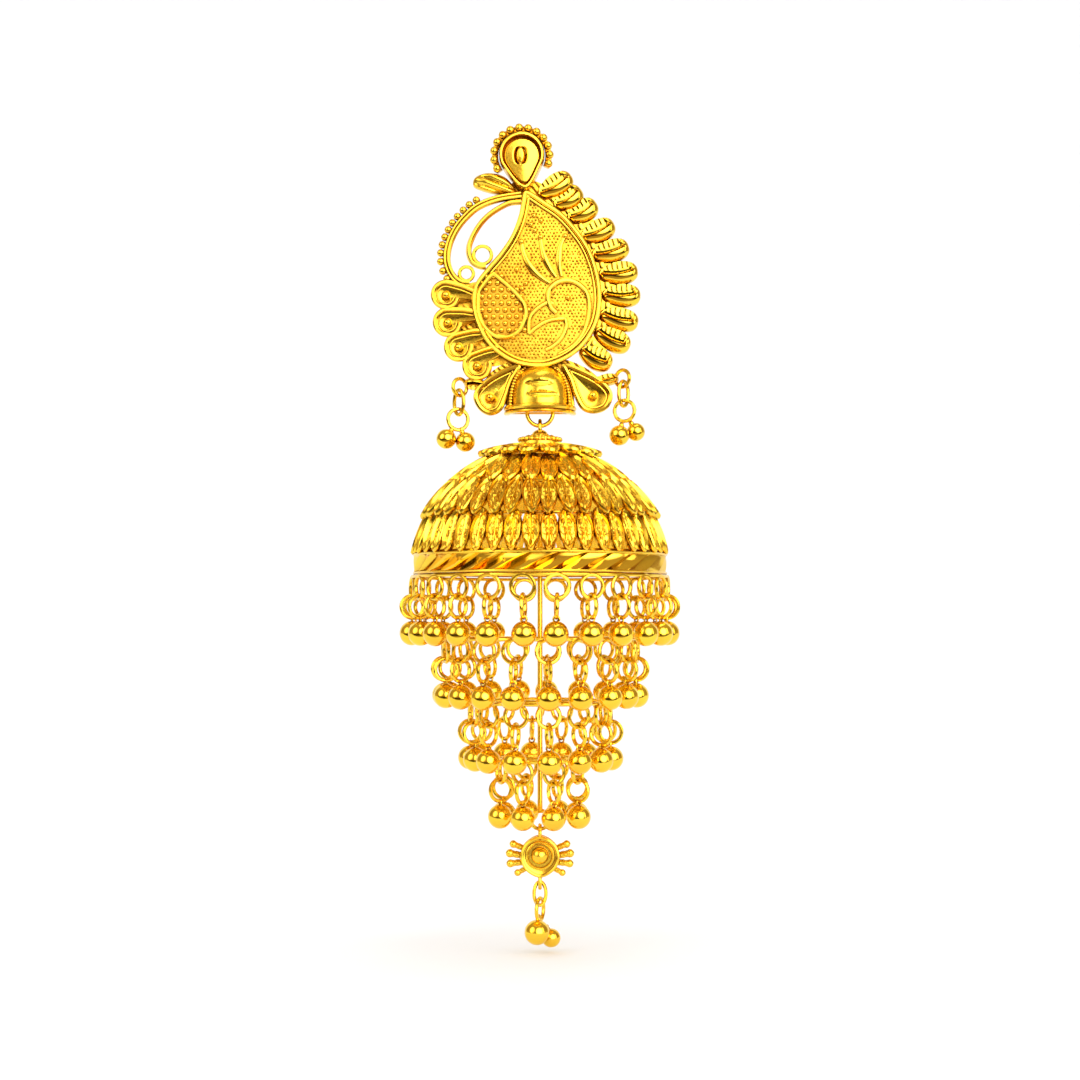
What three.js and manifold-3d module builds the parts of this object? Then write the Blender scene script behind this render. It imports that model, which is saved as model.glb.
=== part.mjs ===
// Jhumka earring in gold: a pierced plaque worn on the ear lobe, and a half-round dome with four tiers
// of bead drops and a pendant, hanging below it on one wire ring.
// Millimetres, +Z up, front facing -Y. The origin is on the plaque's flat back, where the post leaves it.

import * as THREE from 'three';
import { mergeVertices } from 'three/addons/utils/BufferGeometryUtils.js';
import Module from 'manifold-3d';

const wasm = await Module();
wasm.setup();

// Driving dimensions
const plateDepth = 0.8;
const rimDepth = 1.4;
const settingDepth = 1.9;
const granuleSize = 0.84;
const loopWire = 0.4;
const linkPlay = 0.2;
const hangAxisY = -1.8;

const dome = { radius: 13, wall: 0.6, centreZ: -32.4, bandTop: -31.2, bandBottom: -32.92 };
const finial = { eyeTop: -16.9, capTop: -17.98, capRadius: 0.94, discTop: -18.8, discRadius: 2.24 };
const bell = { top: -11.4, lipTop: -15.45, lipBottom: -16.35, radius: 3.35, lipRadius: 3.78, wall: 0.4 };
const hangRing = { radius: 1.33, centreZ: -16.29 };
const bellLoop = { radius: 0.85, bottomZ: -15.48 };
const drop = { ringRadius: 1.15, wire: 0.38, beadRadius: 1.25, secondRing: -1.92, bead: -4.62 };
const tiers = [
  { name: 'bead_tier_1', drops: 24, radius: 13.1, hoopZ: -33.2, firstAngle: 7.5 },
  { name: 'bead_tier_2', drops: 19, radius: 10.0, hoopZ: -39.55, firstAngle: 4.5 },
  { name: 'bead_tier_3', drops: 14, radius: 7.2, hoopZ: -46.05, firstAngle: 6.6 },
  { name: 'bead_tier_4', drops: 8, radius: 4.2, hoopZ: -51.95, firstAngle: 20 },
];
const hoopWire = 0.4;
const stem = { radius: 0.42, top: -20.25, bottom: -57.45, spokes: 4, spokeWidth: 0.5, spokeGap: 0.15 };
const post = { footRadius: 1.6, footDepth: 0.4, pinRadius: 0.45, tip: 9.2 };
const nut = { radius: 2.4, from: 5.2, to: 7.4 };

const gold = { color: 0xe2a81e, roughness: 0.28, metalness: 1 };

// Geometry to closed solid and back
function solid(geometry) {
  geometry.deleteAttribute('normal');
  geometry.deleteAttribute('uv');
  const mesh = mergeVertices(geometry, 1e-4);
  const at = mesh.attributes.position;
  const corners = [];
  let volume = 0;
  const [a, b, c] = [new THREE.Vector3(), new THREE.Vector3(), new THREE.Vector3()];
  for (let i = 0; i < mesh.index.count; i += 3) {
    const [p, q, r] = [mesh.index.getX(i), mesh.index.getX(i + 1), mesh.index.getX(i + 2)];
    if (p === q || q === r || r === p) continue;
    corners.push(p, q, r);
    b.fromBufferAttribute(at, q).cross(c.fromBufferAttribute(at, r));
    volume += a.fromBufferAttribute(at, p).dot(b);
  }
  if (volume < 0) corners.reverse();
  const vertProperties = new Float32Array(at.array);
  const triVerts = new Uint32Array(corners);
  return new wasm.Manifold(new wasm.Mesh({ numProp: 3, vertProperties, triVerts }));
}

function surface(body) {
  const mesh = body.getMesh();
  const geometry = new THREE.BufferGeometry();
  geometry.setAttribute('position', new THREE.BufferAttribute(new Float32Array(mesh.vertProperties), 3));
  geometry.setIndex(new THREE.BufferAttribute(new Uint32Array(mesh.triVerts), 1));
  geometry.computeVertexNormals();
  return geometry;
}

const union = (bodies) => bodies.reduce((whole, body) => whole.add(body));

// Front-view helpers: u runs to the right along +X, v runs up along +Z
function outline(points, steps) {
  const corners = points.map(([u, v]) => new THREE.Vector3(u, v, 0));
  const curve = new THREE.CatmullRomCurve3(corners, true, 'centripetal');
  return curve.getPoints(steps).slice(0, steps).map((p) => new THREE.Vector2(p.x, p.y));
}

function plate(points, front, back = 0) {
  const options = { depth: front - back, bevelEnabled: false };
  const geometry = new THREE.ExtrudeGeometry(new THREE.Shape(points), options);
  return solid(geometry.rotateX(Math.PI / 2).translate(0, -back, 0));
}

function shrunk(points, centre, share) {
  return points.map((p) => p.clone().sub(centre).multiplyScalar(share).add(centre));
}

// A half-round lobe lying on the back plane, from its root outwards; its root end is sunk into its neighbour
function lobe({ u, v, length, width, depth, turn, sunk = 0.7 }) {
  const half = (length + sunk) / 2;
  const geometry = new THREE.SphereGeometry(1, 8, 5).rotateZ(Math.PI / 2).scale(half, depth, width / 2);
  geometry.translate(half - sunk, 0, 0).rotateY(-THREE.MathUtils.degToRad(turn)).translate(u, 0, v);
  return solid(geometry);
}

function ball(x, y, z, radius, detail = 1) {
  return solid(new THREE.IcosahedronGeometry(radius, detail).translate(x, y, z));
}

// A wire ring whose axis lies level, turned about Z: 0 faces the front, 90 faces the side
function ring(x, y, z, radius, wireWidth, turn = 0, tall = 1, sides = 5, steps = 12) {
  const geometry = new THREE.TorusGeometry(radius, wireWidth / 2, sides, steps);
  geometry.rotateZ(Math.PI / 2).rotateX(Math.PI / 2).scale(1, 1, tall);
  geometry.rotateZ(THREE.MathUtils.degToRad(turn)).translate(x, y, z);
  return solid(geometry);
}

function turned(profile, steps) {
  const points = profile.map(([r, z]) => new THREE.Vector2(r, z));
  return solid(new THREE.LatheGeometry(points, steps).rotateX(Math.PI / 2));
}

function wireAlong(points, width, steps) {
  const path = new THREE.CatmullRomCurve3(points.map(([u, v]) => new THREE.Vector3(u, -rimDepth / 2, v)));
  const section = new THREE.Shape();
  section.absarc(0, 0, width / 2, 0, 2 * Math.PI);
  const options = { steps, extrudePath: path, curveSegments: 3, bevelEnabled: false };
  return { path, body: solid(new THREE.ExtrudeGeometry(section, options)) };
}

// Plaque: teardrop frame with its field recessed inside the rim
const fieldCentre = new THREE.Vector2(-0.2, -4);
const fieldShare = 0.912;
const frameOutline = outline([
  [-1.56, 6.8], [0.72, 5.56], [3.59, 3.06], [5.74, -0.76], [6.33, -5.05], [4.54, -9.24], [0, -11.5],
  [-5.01, -9.47], [-7.04, -4.82], [-6.6, -2.7], [-4.06, 0.44], [-2.14, 4.25],
], 40);

function teardropFrame() {
  const field = shrunk(frameOutline, fieldCentre, fieldShare);
  return plate(frameOutline, rimDepth).subtract(plate(field, rimDepth + 1, plateDepth));
}

// Plaque: pear setting with its arc of granules
const setting = { u: -1.89, v: 10.5, radius: 2.5, tipU: -1.5, tipV: 6.5 };

function pearSetting() {
  const points = [[setting.tipU, setting.tipV]];
  for (let angle = -35; angle <= 215; angle += 25) {
    const a = THREE.MathUtils.degToRad(angle);
    points.push([setting.u + setting.radius * Math.cos(a), setting.v + setting.radius * Math.sin(a)]);
  }
  return plate(outline(points, 22), settingDepth);
}

function settingGranules() {
  const count = 13;
  const reach = setting.radius + 0.28;
  return Array.from({ length: count }, (_, i) => {
    const a = THREE.MathUtils.degToRad(-17 + (225 * i) / (count - 1));
    const [x, z] = [setting.u + reach * Math.cos(a), setting.v + reach * Math.sin(a)];
    return ball(x, -0.75, z, granuleSize / 2, 0);
  });
}

// Plaque: open scroll on the left, with granules along the outer wire
function openScroll() {
  const outer = wireAlong([
    [-1.9, 6.5], [-6.59, 5.17], [-8.66, 3.02], [-9.69, 0], [-9.3, -1.6], [-8.3, -2.7], [-6.7, -2.9],
  ], 0.6, 18);
  const inner = wireAlong([
    [-1.9, 5.3], [-4.52, 4.7], [-6.27, 3.34], [-7.38, 0.94], [-7.1, -0.5], [-6.2, -1.15], [-5.2, -1.2],
  ], 0.6, 14);
  const bodies = [outer.body, inner.body];
  const count = 12;
  for (let i = 0; i < count; i++) {
    const u = 0.3 + (0.55 * i) / (count - 1);
    const [at, along] = [outer.path.getPointAt(u), outer.path.getTangentAt(u)];
    bodies.push(ball(at.x + along.z * 0.52, -0.7, at.z - along.x * 0.52, granuleSize / 2, 0));
  }
  return bodies;
}

// Plaque: petals. u, v is the root on the frame, turn is the direction outwards in degrees
const rightPetals = [
  { u: -0.2, v: 6.3, length: 4.1, turn: 32 }, { u: 1.5, v: 5.1, length: 3.4, turn: 35 },
  { u: 2.9, v: 3.8, length: 3.5, turn: 32 }, { u: 4.2, v: 1.8, length: 3.9, turn: 26 },
  { u: 5.3, v: 0.0, length: 4.1, turn: 17 }, { u: 6.0, v: -1.9, length: 4.2, turn: 7 },
  { u: 6.35, v: -3.95, length: 4.1, turn: 0 }, { u: 6.1, v: -5.9, length: 4.2, turn: -13 },
  { u: 5.6, v: -7.6, length: 4.1, turn: -25 }, { u: 4.1, v: -9.6, length: 3.7, turn: -26 },
];
const leftPetals = [
  { u: -6.4, v: -4.3, length: 4.87, turn: 178 }, { u: -6.1, v: -6.1, length: 4.9, turn: 188 },
  { u: -5.3, v: -8.0, length: 4.75, turn: 200 }, { u: -3.9, v: -9.5, length: 4.75, turn: 213 },
];
const shellPetal = { u: -2.3, v: 6.5, length: 4.9, width: 1.9, depth: 1.1, turn: 158 };

function petals() {
  const right = rightPetals.map((petal) => lobe({ ...petal, width: 2.3, depth: 1.3 }));
  const left = leftPetals.map((petal) => lobe({ ...petal, width: 2.7, depth: 1.3 }));
  return [...right, ...left, lobe(shellPetal)];
}

// Plaque: half-round bell, open underneath, with a loop inside for the hang ring
function lotusBell() {
  const { top, lipTop, lipBottom, radius, lipRadius, wall } = bell;
  const outside = turned([
    [0, top], [1.7, top], [2.7, top - 1.1], [radius, top - 2.9], [radius, lipTop], [lipRadius, lipTop],
    [lipRadius, lipBottom], [0, lipBottom],
  ], 16);
  const inside = turned([
    [0, top - 1.9], [1.7, top - 1.9], [radius - wall, top - 3.2], [radius - wall, lipBottom - 1],
    [0, lipBottom - 1],
  ], 16);
  const backOff = new THREE.BoxGeometry(20, 10, 20).translate(0, -5 - plateDepth, lipBottom);
  const frontOnly = new THREE.BoxGeometry(20, 10, 20).translate(0, -5, lipBottom);
  const shell = outside.intersect(solid(frontOnly)).subtract(inside.intersect(solid(backOff)));
  const loopZ = bellLoop.bottomZ + bellLoop.radius;
  return shell.add(ring(0, hangAxisY, loopZ, bellLoop.radius, loopWire, 90, 1.25));
}

// Plaque: wings beside the bell, each ending in a fixed loop for a side drop
const wings = [
  {
    side: -1,
    outlinePoints: [[-1.4, -10.6], [-4.2, -11.9], [-6.7, -13.9], [-6.3, -15.6], [-5.2, -16.3], [-3.4, -15.4]],
    leaf: { u: -5.3, v: -13.3, length: 2.6, width: 1.2, depth: 0.9, turn: 174 },
    loop: { u: -8.3, v: -13.5 },
  },
  {
    side: 1,
    outlinePoints: [[1.4, -10.6], [4.6, -11.6], [7.4, -13.9], [6.9, -15.4], [5.7, -16.1], [3.4, -15.4]],
    leaf: { u: 5.5, v: -12.9, length: 2.7, width: 1.2, depth: 0.9, turn: 8 },
    loop: { u: 8.55, v: -12.6 },
  },
];
const sideLoop = { radius: 0.88, y: -0.7, turn: 40 };

function wing({ side, outlinePoints, leaf, loop }) {
  const body = plate(outline(outlinePoints, 16), 1.1);
  const { radius, y, turn } = sideLoop;
  return [body, lobe(leaf), ring(loop.u, y, loop.v, radius, loopWire, -side * turn)];
}

function plaqueSolid() {
  const all = union([
    teardropFrame(), pearSetting(), ...settingGranules(), ...openScroll(), ...petals(), lotusBell(),
    ...wings.flatMap(wing),
  ]);
  const behind = solid(new THREE.BoxGeometry(40, 10, 60).translate(0, 5, 0));
  return all.subtract(behind);
}

// Side drops: an oval link through the wing's loop, then a ring with two balls soldered on
const sideDrops = [
  {
    name: 'left_drop', side: -1, loop: wings[0].loop,
    balls: [{ u: -1.2, v: -2.05, y: -0.3, radius: 1.03 }, { u: 0.75, v: -2.3, y: 0.3, radius: 1.03 }],
  },
  {
    name: 'right_drop', side: 1, loop: wings[1].loop,
    balls: [{ u: -0.55, v: -2.6, y: -0.5, radius: 1.05 }, { u: 1.2, v: -2.15, y: 0.45, radius: 0.95 }],
  },
];
const sideLink = { radius: 0.75, tall: 1.72, turn: 48, lean: 0.1 };
const sideRing = { radius: 1.08, turn: 20 };

function sideDrop({ name, side, loop, balls }) {
  const lean = side * sideLink.lean;
  const linkHalf = sideLink.radius * sideLink.tall;
  const linkZ = loop.v - sideLoop.radius + loopWire + linkPlay - linkHalf;
  const ringZ = linkZ - linkHalf + loopWire + linkPlay - sideRing.radius;
  const [linkX, ringX] = [loop.u + lean, loop.u + 2 * lean];
  const link = ring(linkX, sideLoop.y, linkZ, sideLink.radius, loopWire, side * sideLink.turn, sideLink.tall);
  const beads = balls.flatMap(({ u, v, y, radius }) => [
    ball(ringX + u, sideLoop.y + y, ringZ + v, radius),
    ball(ringX + u * 0.56, sideLoop.y + y * 0.56, ringZ + v * 0.56, 0.45, 0),
  ]);
  beads.push(ring(ringX, sideLoop.y, ringZ, sideRing.radius, loopWire, -side * sideRing.turn));
  return [{ name: `${name}_link`, body: link }, { name: `${name}_beads`, body: union(beads) }];
}

// Ear post behind the plaque, turned about Y
function earPost() {
  const { footRadius, footDepth, pinRadius, tip } = post;
  const start = 0.1;
  const profile = [
    [0, start], [footRadius, start], [footRadius, start + footDepth], [pinRadius, start + footDepth],
    [pinRadius, nut.from], [nut.radius, nut.from], [nut.radius, nut.to], [pinRadius, nut.to],
    [pinRadius, tip], [0, tip + pinRadius],
  ].map(([r, y]) => new THREE.Vector2(r, y));
  return solid(new THREE.LatheGeometry(profile, 12));
}

// Dome: hollow half-round shell under a stepped finial, with its band and eye
function domeShell() {
  const { radius, wall, centreZ, bandTop, bandBottom } = dome;
  const arc = (r, from, to, steps) => Array.from({ length: steps + 1 }, (_, i) => {
    const a = from + ((to - from) * i) / steps;
    return [r * Math.sin(a), centreZ + r * Math.cos(a)];
  });
  const lowest = (r) => Math.acos((bandTop - centreZ) / r);
  const shoulder = Math.asin(finial.discRadius / radius);
  const inner = radius - wall;
  const body = turned([
    [0, finial.capTop], [finial.capRadius * 0.7, finial.capTop - 0.25], [finial.capRadius, finial.discTop],
    [finial.discRadius, finial.discTop], ...arc(radius, shoulder, lowest(radius), 6),
    [radius, bandBottom], [inner, bandBottom], ...arc(inner, lowest(inner), 0, 4),
  ], 26);
  const eyeRadius = 0.8;
  const eyeZ = finial.eyeTop - loopWire / 2 - eyeRadius;
  return body.add(ring(0, 0, eyeZ, eyeRadius, loopWire, 90));
}

// Bead tiers: a hoop with bead drops joined below it, each two crossed links and a bead. The links are
// thin lens-shaped discs as large as their rings.
function lens(radius, wireWidth, turn) {
  const reach = radius + wireWidth / 2;
  const disc = new THREE.SphereGeometry(1, 8, 2).scale(reach, wireWidth / 2, reach);
  return solid(disc.rotateZ(THREE.MathUtils.degToRad(turn)));
}

function beadDrop() {
  const { ringRadius, wire, beadRadius, secondRing, bead } = drop;
  const first = lens(ringRadius, wire, 0).translate([0, 0, -ringRadius]);
  const second = lens(ringRadius, wire, 90).translate([0, 0, -ringRadius + secondRing]);
  const neck = beadRadius * 1.2;
  const sphere = turned([
    [0, neck], [beadRadius * 0.95, beadRadius * 0.4], [beadRadius * 0.95, -beadRadius * 0.5],
    [0, -beadRadius],
  ], 6);
  return union([first, second, sphere.translate([0, 0, -ringRadius + bead])]);
}

function beadTier({ drops, radius, hoopZ, firstAngle }) {
  const one = beadDrop();
  const hoop = new THREE.TorusGeometry(radius, hoopWire / 2, 4, drops);
  hoop.rotateZ(THREE.MathUtils.degToRad(firstAngle - 90)).translate(0, 0, hoopZ);
  const bodies = [solid(hoop)];
  for (let i = 0; i < drops; i++) {
    const a = firstAngle + (360 * i) / drops;
    bodies.push(one.translate([0, -radius, hoopZ]).rotate([0, 0, a]));
  }
  return union(bodies);
}

// Stem inside the dome, with spokes that reach to each inner hoop
function tierFrame() {
  const { radius, top, bottom, spokes, spokeWidth, spokeGap } = stem;
  const rod = new THREE.CylinderGeometry(radius, radius, top - bottom, 8).rotateX(Math.PI / 2);
  const bodies = [solid(rod.translate(0, 0, (top + bottom) / 2))];
  for (const tier of tiers.slice(1)) {
    const length = tier.radius * Math.cos(Math.PI / tier.drops) - hoopWire / 2 - spokeGap;
    for (let i = 0; i < spokes; i++) {
      const bar = new THREE.BoxGeometry(length, spokeWidth, spokeWidth).translate(length / 2, 0, 0);
      bar.rotateZ(((i + 0.5) * 2 * Math.PI) / spokes).translate(0, 0, tier.hoopZ + 0.1);
      bodies.push(solid(bar));
    }
  }
  const loop = ring(0, 0, bottom - 0.75, 0.95, loopWire);
  return union([...bodies, loop]);
}

// Pendant boss with its two sprays, hooked into the loop at the foot of the stem
const boss = { v: -61.95, halfWidth: 1.98, halfHeight: 2.1, depth: 0.75, sprayReach: 3.5 };

function pendantSolid() {
  const lozenge = outline([
    [0, boss.halfHeight], [boss.halfWidth * 0.85, boss.halfHeight * 0.5], [boss.halfWidth, 0],
    [boss.halfWidth * 0.85, -boss.halfHeight * 0.5], [0, -boss.halfHeight],
    [-boss.halfWidth * 0.85, -boss.halfHeight * 0.5], [-boss.halfWidth, 0],
    [-boss.halfWidth * 0.85, boss.halfHeight * 0.5],
  ], 20);
  const bodies = [plate(lozenge, boss.depth, -boss.depth)];
  for (const side of [-1, 1]) {
    for (const lift of [-24, 6, 36]) {
      const prong = new THREE.SphereGeometry(1, 6, 4).rotateZ(Math.PI / 2).scale(1.25, 0.42, 0.42);
      prong.translate(boss.sprayReach - 1.25, 0, 0);
      prong.rotateY(THREE.MathUtils.degToRad(lift * 0.75 - 4)).scale(side, 1, 1);
      bodies.push(solid(prong));
    }
  }
  bodies.push(ball(0, -boss.depth, 0.3, 0.85));
  bodies.push(ring(0, 0, boss.halfHeight + 0.35, 0.75, loopWire, 90));
  bodies.push(ring(0, 0, -boss.halfHeight - 0.5, 0.7, loopWire, 90));
  return union(bodies).translate([0, 0, boss.v]);
}

const lastLink = { radius: 0.62, tall: 1.94, z: -65.8 };
const lastRing = { radius: 1.18, z: -67.45 };

function pendantBeads() {
  return union([
    ring(0, 0, lastRing.z, lastRing.radius, loopWire, 72),
    ball(-0.3, -0.4, -69.75, 1.3), ball(1.15, 0.75, -70.5, 0.98, 1),
    ball(0.55, 0.4, -69.6, 0.6, 0),
  ]);
}

// The whole earring
const hanging = [
  { name: 'dome', body: domeShell() },
  { name: 'tier_frame', body: tierFrame() },
  ...tiers.map((tier) => ({ name: tier.name, body: beadTier(tier) })),
  { name: 'pendant', body: pendantSolid() },
  { name: 'pendant_link', body: ring(0, 0, lastLink.z, lastLink.radius, loopWire, 10, lastLink.tall) },
  { name: 'pendant_beads', body: pendantBeads() },
];
const worn = [
  { name: 'plaque', body: plaqueSolid() },
  { name: 'ear_post', body: earPost() },
  ...sideDrops.flatMap(sideDrop),
  { name: 'hang_link', body: ring(0, hangAxisY, hangRing.centreZ, hangRing.radius, loopWire, 0, 1, 6, 16) },
];

function piece({ name, body }) {
  const mesh = new THREE.Mesh(surface(body), new THREE.MeshStandardMaterial(gold));
  mesh.name = name;
  return mesh;
}

const earring = new THREE.Group();
const lower = new THREE.Group();
lower.position.y = hangAxisY;
lower.add(...hanging.map(piece));
earring.add(...worn.map(piece), lower);

export default earring;
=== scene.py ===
import bpy
import math
import numpy as np
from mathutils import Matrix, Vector


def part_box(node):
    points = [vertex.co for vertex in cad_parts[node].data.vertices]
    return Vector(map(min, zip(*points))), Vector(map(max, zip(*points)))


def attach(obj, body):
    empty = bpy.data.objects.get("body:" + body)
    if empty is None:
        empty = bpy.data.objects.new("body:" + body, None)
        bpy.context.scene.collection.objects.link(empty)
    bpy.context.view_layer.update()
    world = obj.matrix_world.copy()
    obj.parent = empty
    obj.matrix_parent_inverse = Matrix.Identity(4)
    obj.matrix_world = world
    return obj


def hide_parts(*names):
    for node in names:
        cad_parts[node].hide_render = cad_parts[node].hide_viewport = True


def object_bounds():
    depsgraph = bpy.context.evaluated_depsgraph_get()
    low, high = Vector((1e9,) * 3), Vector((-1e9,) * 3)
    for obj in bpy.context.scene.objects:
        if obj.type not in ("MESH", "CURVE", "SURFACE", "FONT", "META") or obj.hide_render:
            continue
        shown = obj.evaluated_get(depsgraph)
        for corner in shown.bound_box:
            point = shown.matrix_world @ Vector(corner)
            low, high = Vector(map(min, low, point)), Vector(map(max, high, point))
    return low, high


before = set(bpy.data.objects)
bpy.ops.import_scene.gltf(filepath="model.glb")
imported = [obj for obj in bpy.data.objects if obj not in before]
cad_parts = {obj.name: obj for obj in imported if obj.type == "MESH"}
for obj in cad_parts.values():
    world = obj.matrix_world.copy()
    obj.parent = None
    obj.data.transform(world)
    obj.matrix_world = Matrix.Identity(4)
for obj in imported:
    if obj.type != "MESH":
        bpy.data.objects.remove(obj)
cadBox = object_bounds()
print("frame loaded:", len(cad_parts), "nodes")

mm = 0.001
tau = 2 * math.pi


def corners(node):
    low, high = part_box(node)
    return np.array(low) / mm, np.array(high) / mm


# ---- shapes: each is (points, quads, triangles), in millimetres

def shape(points, quads=(), tris=()):
    points = np.asarray(points, float).reshape(-1, 3)
    quads = np.asarray(quads, int).reshape(-1, 4)
    tris = np.asarray(tris, int).reshape(-1, 3)
    fan = np.vstack([tris, quads[:, [0, 1, 2]], quads[:, [0, 2, 3]]])
    a, b, c = (points[fan[:, k]] for k in range(3))
    if np.einsum("ij,ij->i", a, np.cross(b, c)).sum() < 0:
        quads, tris = quads[:, ::-1], tris[:, ::-1]
    return points, quads, tris


def joined(parts):
    points, quads, tris, start = [], [], [], 0
    for p, q, t in parts:
        points.append(p)
        quads.append(q + start)
        tris.append(t + start)
        start += len(p)
    return np.vstack(points), np.vstack(quads), np.vstack(tris)


def moved(part, turn=None, by=(0, 0, 0)):
    points = part[0] if turn is None else part[0] @ np.asarray(turn).T
    return points + np.asarray(by, float), part[1], part[2]


def turnZ(degrees):
    a = math.radians(degrees)
    return np.array([[math.cos(a), -math.sin(a), 0], [math.sin(a), math.cos(a), 0], [0, 0, 1]])


def turnY(degrees):
    a = math.radians(degrees)
    return np.array([[math.cos(a), 0, math.sin(a)], [0, 1, 0], [-math.sin(a), 0, math.cos(a)]])


def turnX(degrees):
    a = math.radians(degrees)
    return np.array([[1, 0, 0], [0, math.cos(a), -math.sin(a)], [0, math.sin(a), math.cos(a)]])


def smoothPath(points, perSpan=8, closed=False):
    p = np.array(points, float)
    if closed:
        p = np.vstack([p[-1], p, p[0], p[1]])
    else:
        p = np.vstack([2 * p[0] - p[1], p, 2 * p[-1] - p[-2]])
    out = []
    for i in range(1, len(p) - 2):
        k = [0.0]
        for j in range(3):
            k.append(k[-1] + math.sqrt(np.linalg.norm(p[i + j] - p[i + j - 1]) + 1e-9))
        t = np.linspace(k[1], k[2], perSpan, endpoint=False)[:, None]
        a = [((k[j + 1] - t) * p[i + j - 1] + (t - k[j]) * p[i + j]) / (k[j + 1] - k[j]) for j in range(3)]
        b = [((k[j + 2] - t) * a[j] + (t - k[j]) * a[j + 1]) / (k[j + 2] - k[j]) for j in range(2)]
        out.append(((k[2] - t) * b[0] + (t - k[1]) * b[1]) / (k[2] - k[1]))
    if not closed:
        out.append(p[-2:-1])
    return np.vstack(out)


def evenPath(path, count, closed=False):
    p = np.vstack([path, path[:1]]) if closed else path
    run = np.r_[0, np.cumsum(np.linalg.norm(np.diff(p, axis=0), axis=1))]
    at = np.linspace(0, run[-1], count, endpoint=not closed)
    return np.column_stack([np.interp(at, run, p[:, k]) for k in range(p.shape[1])])


def tangents(path, closed):
    if closed:
        along = np.roll(path, -1, axis=0) - np.roll(path, 1, axis=0)
    else:
        along = np.gradient(path, axis=0)
    return along / (np.linalg.norm(along, axis=1, keepdims=True) + 1e-12)


def shifted(path, distance, closed=True):
    along = tangents(path, closed)
    return path + distance * np.column_stack([along[:, 1], -along[:, 0]])


def arcPath(centre, radius, start, end, count=12):
    a = np.radians(np.linspace(start, end, count))
    return np.column_stack([centre[0] + radius * np.cos(a), centre[1] + radius * np.sin(a)])


def front(path, depth):
    # front view (across, up) with a height towards the viewer, to x, y, z
    path = np.asarray(path, float)
    return np.column_stack([path[:, 0], -np.broadcast_to(depth, len(path)), path[:, 1]])


def tube(path, radius, sides=8, closed=False, up=(0, -1, 0), flat=1.0):
    path = np.asarray(path, float)
    n = len(path)
    radius = np.broadcast_to(radius, n)
    along = tangents(path, closed)
    across = np.cross(along, np.asarray(up, float))
    across /= np.linalg.norm(across, axis=1, keepdims=True) + 1e-12
    lift = np.cross(across, along)
    a = np.arange(sides) * tau / sides
    offsets = np.cos(a)[None, :, None] * across[:, None] + flat * np.sin(a)[None, :, None] * lift[:, None]
    points = (path[:, None] + radius[:, None, None] * offsets).reshape(-1, 3)
    i, j = np.meshgrid(np.arange(n if closed else n - 1), np.arange(sides), indexing="ij")
    i, j = i.ravel(), j.ravel()
    k, m = (i + 1) % n, (j + 1) % sides
    quads = np.column_stack([i * sides + j, k * sides + j, k * sides + m, i * sides + m])
    tris = []
    if not closed:
        points = np.vstack([points, path[:1], path[-1:]])
        j = np.arange(sides)
        m = (j + 1) % sides
        tris = np.vstack([
            np.column_stack([j, m, np.full(sides, n * sides)]),
            np.column_stack([(n - 1) * sides + m, (n - 1) * sides + j, np.full(sides, n * sides + 1)]),
        ])
    return shape(points, quads, tris)


def ring(centre, radius, wire, turn=0, tall=1.0, sides=10, steps=32):
    # a wire ring facing the front, turned about the upright
    a = np.arange(steps) * tau / steps
    path = np.column_stack([radius * np.cos(a), np.zeros(steps), tall * radius * np.sin(a)])
    return moved(tube(path, wire / 2, sides, True), turnZ(turn), centre)


def lathe(profile, steps=48, start=0, end=360):
    profile = np.asarray(profile, float)
    whole = abs(end - start) >= 360
    a = np.radians(np.linspace(start, end, steps, endpoint=not whole))
    n = len(profile)
    x = profile[None, :, 0] * np.cos(a)[:, None]
    y = profile[None, :, 0] * np.sin(a)[:, None]
    z = np.broadcast_to(profile[None, :, 1], x.shape)
    points = np.stack([x, y, z], axis=-1).reshape(-1, 3)
    i, j = np.meshgrid(np.arange(steps if whole else steps - 1), np.arange(n - 1), indexing="ij")
    i, j = i.ravel(), j.ravel()
    k = (i + 1) % steps
    return shape(points, np.column_stack([i * n + j, k * n + j, k * n + j + 1, i * n + j + 1]))


def ball(centre, radius, rows=10, steps=16):
    a = np.linspace(math.pi / 2, -math.pi / 2, rows + 1)
    return moved(lathe(np.column_stack([radius * np.cos(a), radius * np.sin(a)]), steps), None, centre)


def relief(outline, centre, rows, height, back=0.0):
    # a raised form over a closed outline: rows are shares from the centre to the outline, and height takes
    # the share, the across and the up; the back is flat
    outline = np.asarray(outline, float)
    n = len(outline)
    rows = np.asarray(rows, float)
    flat = np.asarray(centre)[None, None] + rows[:, None, None] * (outline - centre)[None]
    share = np.broadcast_to(rows[:, None], flat.shape[:2])
    depth = height(share, flat[..., 0], flat[..., 1])
    top = np.stack([flat[..., 0], -depth, flat[..., 1]], axis=-1).reshape(-1, 3)
    m = len(rows)
    rim = front(outline, back)
    points = np.vstack([front([centre], float(np.mean(depth[0]))), top, rim, front([centre], back)])
    j = np.arange(n)
    k = (j + 1) % n
    quads = [np.column_stack([1 + r * n + j, 1 + r * n + k, 1 + (r + 1) * n + k, 1 + (r + 1) * n + j])
             for r in range(m)]
    tris = np.vstack([
        np.column_stack([np.zeros(n, int), 1 + k, 1 + j]),
        np.column_stack([np.full(n, 1 + (m + 1) * n), 1 + m * n + j, 1 + m * n + k]),
    ])
    return shape(points, np.vstack(quads), tris)


def step(x, low, high):
    t = np.clip((x - low) / (high - low), 0, 1)
    return t * t * (3 - 2 * t)


def bump(x, middle, width):
    return np.exp(-((x - middle) / width) ** 2)


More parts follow.
